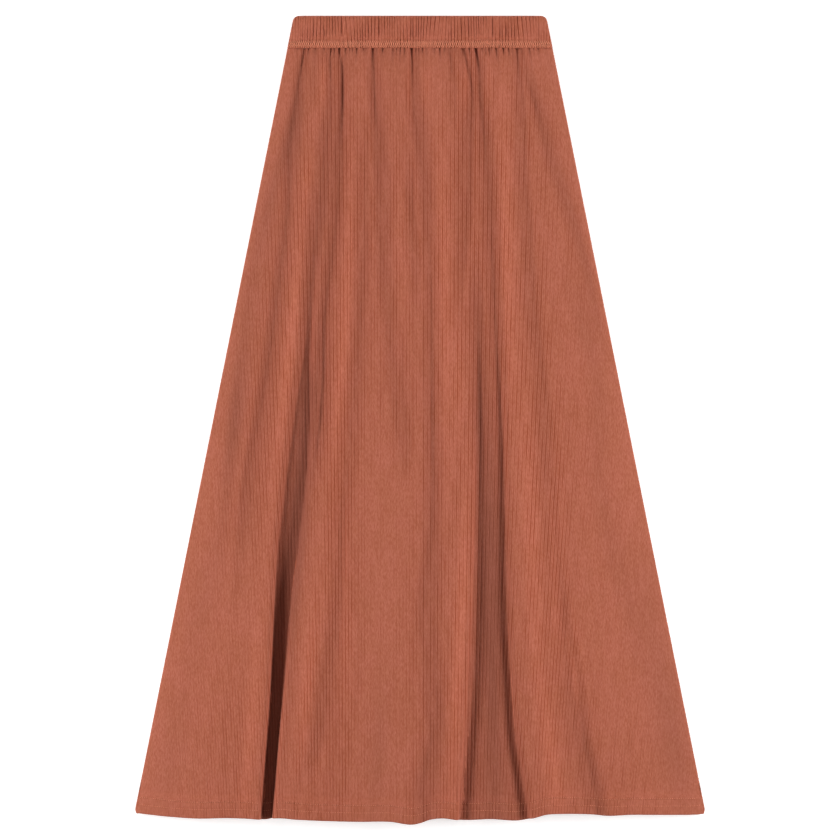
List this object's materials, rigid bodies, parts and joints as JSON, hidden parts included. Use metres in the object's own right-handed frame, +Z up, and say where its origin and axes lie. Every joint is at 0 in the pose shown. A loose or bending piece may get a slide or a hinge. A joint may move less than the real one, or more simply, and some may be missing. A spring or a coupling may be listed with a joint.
{
  "type": "a-line skirt",
  "caption": "Long a-line skirt in fine rib knit with a gathered elastic waist casing, laid flat with its front up in soft folds.",
  "frame": {"origin": "on the surface the skirt lies on, under the middle of its outline", "axes": "+Z up from the surface, +Y from the hem towards the waist, +X to the right as the front is seen from above"},
  "size_m": [0.6834, 0.9686, 0.0272],
  "materials": {
    "front_rib": "matte rib knit",
    "back_rib": "matte rib knit",
    "front_casing_rib": "matte rib knit",
    "back_casing_rib": "matte rib knit"
  },
  "bodies": {
    "root": {"front_panel": "front_rib", "back_panel": "back_rib", "waistband_front": "front_casing_rib", "waistband_back": "back_casing_rib"}
  },
  "joints": []
}
